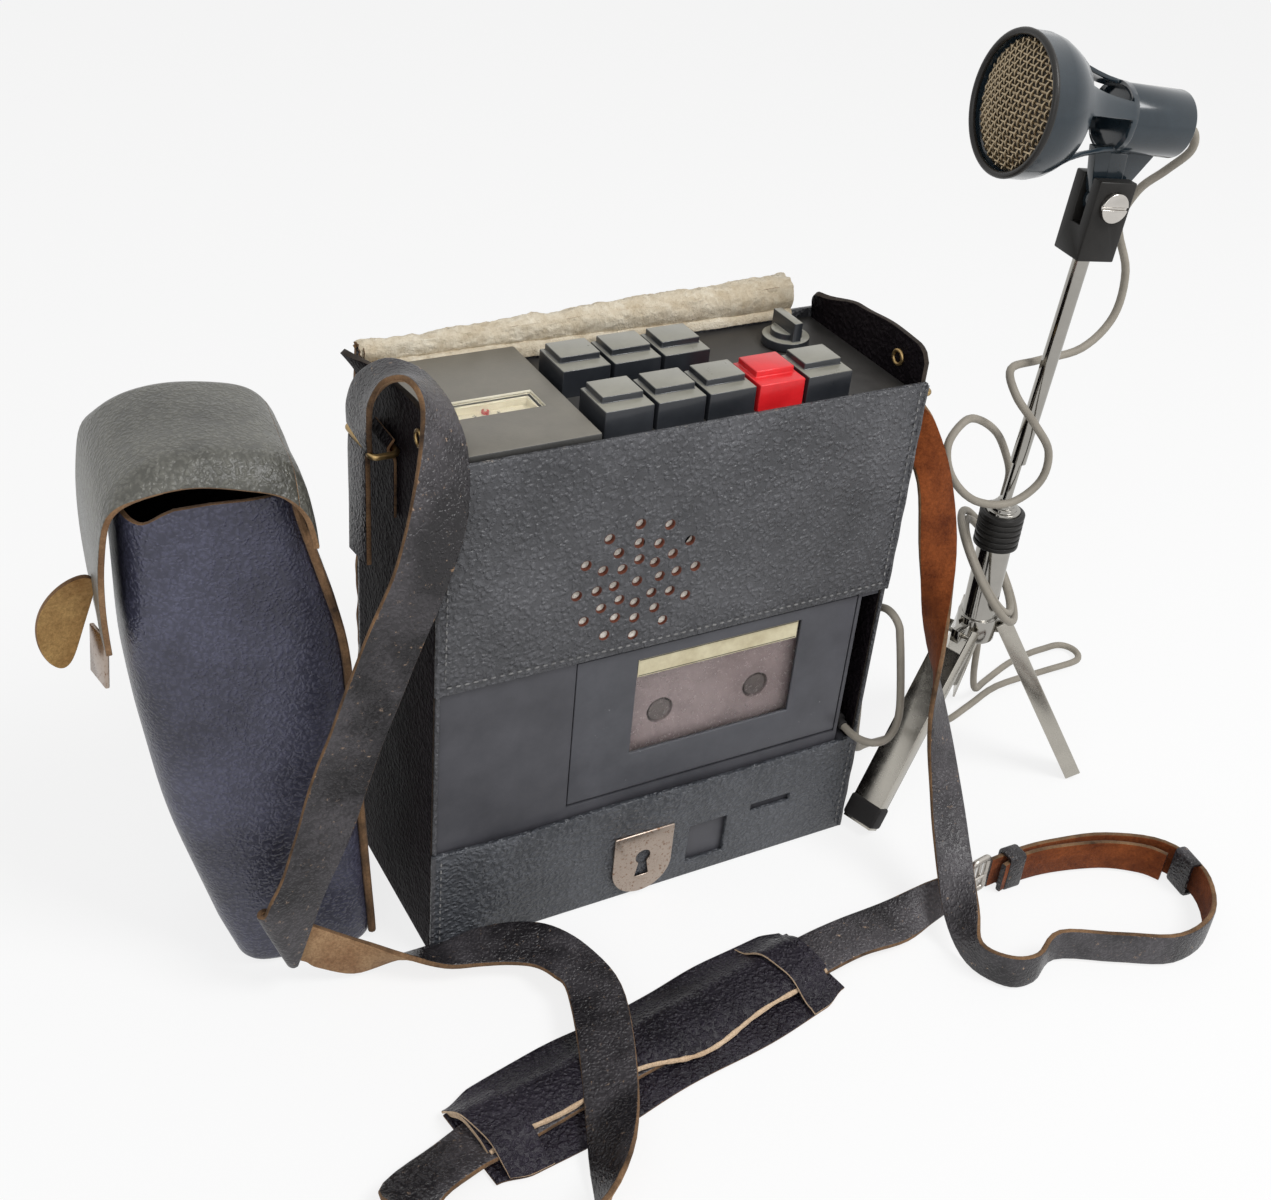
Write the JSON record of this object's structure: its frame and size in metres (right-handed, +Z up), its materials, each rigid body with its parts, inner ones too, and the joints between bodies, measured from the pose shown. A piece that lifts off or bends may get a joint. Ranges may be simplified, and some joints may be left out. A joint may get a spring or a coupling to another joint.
{
  "type": "cassette recorder",
  "caption": "Portable cassette recorder in a leather carrying case, with shoulder strap, soft pouch, and a microphone on a folding tripod stand joined to it by a cord.",
  "frame": {"origin": "middle of the leather case's base, on the surface that it stands on", "axes": "+X to the right seen from the front, +Y to the back, +Z up; the face with the cassette lid looks along -Y"},
  "size_m": [0.4765, 0.2281, 0.3266],
  "materials": {
    "case_leather": "grained, worn at the edges",
    "flap_suede": "rough suede",
    "strap_leather": "worn, suede on its back",
    "pouch_leather": "grained, tan cut edges",
    "housing_plastic": "fine moulded grain",
    "deck_plastic": "satin",
    "key_black": "satin moulded",
    "key_red": "satin moulded",
    "lid_pane": "clear moulded pane",
    "meter_pane": "clear moulded pane",
    "needle_red": "thin red needle",
    "cassette_plastic": "smoky",
    "tape_brown": "wound tape",
    "spindle_white": "moulded",
    "sheet_steel": "zinc plated",
    "turned_brass": "turned",
    "black_rubber": "matt",
    "board_green": "lacquered",
    "speaker_dark": "paper cone",
    "cell_jacket": "printed jacket left plain",
    "clasp_nickel": "worn nickel",
    "fitting_brass": "aged",
    "buckle_steel": "worn plating",
    "mic_black": "glossy black",
    "mesh_brass": "woven mesh",
    "clip_black": "moulded",
    "stand_chrome": "polished",
    "leg_steel": "bright plated",
    "cord_grey": "matt sleeve",
    "plug_dark": "moulded"
  },
  "bodies": {
    "case": {"case_gusset": "case_leather", "case_front_panel": "case_leather", "case_front_band": "case_leather", "case_back": "case_leather", "strap_long": "strap_leather", "strap_short": "strap_leather", "shoulder_pad": "strap_leather", "pouch_body": "pouch_leather", "front_housing": "housing_plastic", "rear_housing": "housing_plastic", "top_deck": "deck_plastic", "meter_panel": "deck_plastic", "meter_window": "meter_pane", "cassette_shell": "cassette_plastic", "chassis_plate": "sheet_steel", "motor": "sheet_steel", "housing_screws": "sheet_steel", "drive_belt": "black_rubber", "circuit_board": "board_green", "loudspeaker": "speaker_dark", "battery_cells": "cell_jacket", "clasp_plate": "clasp_nickel", "case_fittings": "fitting_brass", "strap_buckle": "buckle_steel", "stand_collar": "clip_black", "tripod_column": "stand_chrome", "mic_cord_upper": "cord_grey", "mic_cord_lower": "cord_grey", "mic_plug": "plug_dark"},
    "key_rewind": {"key_rewind": "key_black"},
    "key_stop": {"key_stop": "key_black"},
    "key_play": {"key_play": "key_black"},
    "key_record": {"key_record": "key_red"},
    "key_forward": {"key_forward": "key_black"},
    "key_eject": {"key_eject": "key_black"},
    "key_pause": {"key_pause": "key_black"},
    "key_battery": {"key_battery": "key_black"},
    "needle": {"meter_needle": "needle_red"},
    "knob": {"volume_knob": "deck_plastic"},
    "lid": {"cassette_lid": "housing_plastic", "lid_window": "lid_pane"},
    "capstan": {"flywheel": "turned_brass"},
    "pulley": {"motor_pulley": "turned_brass"},
    "supply": {"supply_reel": "tape_brown", "supply_spindle": "spindle_white"},
    "takeup": {"takeup_reel": "tape_brown", "takeup_spindle": "spindle_white"},
    "bridge": {"head_bridge": "sheet_steel"},
    "roller": {"pinch_roller": "black_rubber"},
    "flap": {"top_flap": "flap_suede"},
    "pouch_hood": {"pouch_flap": "pouch_leather"},
    "mast": {"stand_tube": "stand_chrome", "mic_clip": "clip_black", "clip_screw": "stand_chrome"},
    "microphone": {"mic_head": "mic_black", "mic_grille": "mesh_brass", "mic_barrel": "mic_black"},
    "leg_a": {"leg_left": "leg_steel"},
    "leg_b": {"leg_right": "leg_steel"},
    "leg_c": {"leg_back": "leg_steel"}
  },
  "joints": [
    {"name": "rewind_press", "type": "slide", "parent": "case", "child": "key_rewind", "axis": [0, 0, -1], "range_m": [0, 0.005], "stiffness_N_per_m": 200},
    {"name": "stop_press", "type": "slide", "parent": "case", "child": "key_stop", "axis": [0, 0, -1], "range_m": [0, 0.005], "stiffness_N_per_m": 200},
    {"name": "play_press", "type": "slide", "parent": "case", "child": "key_play", "axis": [0, 0, -1], "range_m": [0, 0.005], "stiffness_N_per_m": 200},
    {"name": "record_press", "type": "slide", "parent": "case", "child": "key_record", "axis": [0, 0, -1], "range_m": [0, 0.005], "stiffness_N_per_m": 200},
    {"name": "forward_press", "type": "slide", "parent": "case", "child": "key_forward", "axis": [0, 0, -1], "range_m": [0, 0.005], "stiffness_N_per_m": 200},
    {"name": "eject_press", "type": "slide", "parent": "case", "child": "key_eject", "axis": [0, 0, -1], "range_m": [0, 0.005], "stiffness_N_per_m": 200},
    {"name": "pause_press", "type": "slide", "parent": "case", "child": "key_pause", "axis": [0, 0, -1], "range_m": [0, 0.005], "stiffness_N_per_m": 200},
    {"name": "battery_press", "type": "slide", "parent": "case", "child": "key_battery", "axis": [0, 0, -1], "range_m": [0, 0.005], "stiffness_N_per_m": 200},
    {"name": "needle_swing", "type": "hinge", "parent": "case", "child": "needle", "pos_m": [-0.0632, -0.0021, 0.2066], "axis": [0, 0, 1], "range_deg": [-32, 32], "stiffness_Nm_per_rad": 0.001},
    {"name": "volume_turn", "type": "hinge", "parent": "case", "child": "knob", "pos_m": [0.068, 0.017, 0.205], "axis": [0, 0, 1], "range_deg": [0, 270]},
    {"name": "lid_open", "type": "hinge", "parent": "case", "child": "lid", "pos_m": [0.0215, -0.03395, 0.0552], "axis": [1, 0, 0], "range_deg": [0, 78]},
    {"name": "capstan_spin", "type": "hinge", "parent": "case", "child": "capstan", "pos_m": [0.0455, -0.01, 0.113], "axis": [0, 1, 0], "continuous": true},
    {"name": "pulley_spin", "type": "hinge", "parent": "case", "child": "pulley", "pos_m": [-0.018, 0, 0.1], "axis": [0, 1, 0], "continuous": true},
    {"name": "supply_spin", "type": "hinge", "parent": "case", "child": "supply", "pos_m": [0.04275, -0.0259, 0.0851], "axis": [0, 1, 0], "continuous": true},
    {"name": "takeup_spin", "type": "hinge", "parent": "case", "child": "takeup", "pos_m": [0.00025, -0.0259, 0.0851], "axis": [0, 1, 0], "continuous": true},
    {"name": "bridge_slide", "type": "slide", "parent": "case", "child": "bridge", "axis": [0, 0, -1], "range_m": [0, 0.0037]},
    {"name": "roller_spin", "type": "hinge", "parent": "bridge", "child": "roller", "pos_m": [0.0455, -0.0259, 0.1243], "axis": [0, 1, 0], "continuous": true},
    {"name": "flap_swing", "type": "hinge", "parent": "case", "child": "flap", "pos_m": [-0.0045, 0.0419, 0.2138], "axis": [1, 0, 0], "range_deg": [0, 215]},
    {"name": "hood_lift", "type": "hinge", "parent": "case", "child": "pouch_hood", "pos_m": [-0.13301, -0.02023, 0.206], "axis": [0.1149, 0.9934, 0], "range_deg": [0, 85]},
    {"name": "mast_slide", "type": "slide", "parent": "case", "child": "mast", "axis": [0.0837, 0, 0.9965], "range_m": [-0.015, 0.045], "deforming": ["mic_cord_upper"]},
    {"name": "mic_tilt", "type": "hinge", "parent": "mast", "child": "microphone", "pos_m": [0.16988, -0.0235, 0.26554], "axis": [0.1473, 0.989, -0.0124], "range_deg": [-25, 25], "deforming": ["mic_cord_upper"]},
    {"name": "fold_a", "type": "hinge", "parent": "case", "child": "leg_a", "pos_m": [0.14705, -0.02715, 0.08], "axis": [0.2924, -0.9563, 0], "range_deg": [0, 31]},
    {"name": "fold_b", "type": "hinge", "parent": "case", "child": "leg_b", "pos_m": [0.17033, -0.02878, 0.08], "axis": [0.4226, 0.9063, 0], "range_deg": [0, 31]},
    {"name": "fold_c", "type": "hinge", "parent": "case", "child": "leg_c", "pos_m": [0.1667, -0.01365, 0.08], "axis": [-0.788, 0.6157, 0], "range_deg": [0, 31], "deforming": ["mic_cord_lower"]}
  ],
  "couplings": [
    {"joint": "pulley_spin", "follows": "capstan_spin", "ratio": 4.4},
    {"joint": "takeup_spin", "follows": "capstan_spin", "ratio": 0.08},
    {"joint": "supply_spin", "follows": "capstan_spin", "ratio": 0.0545},
    {"joint": "bridge_slide", "follows": "play_press", "ratio": 0.74}
  ]
}
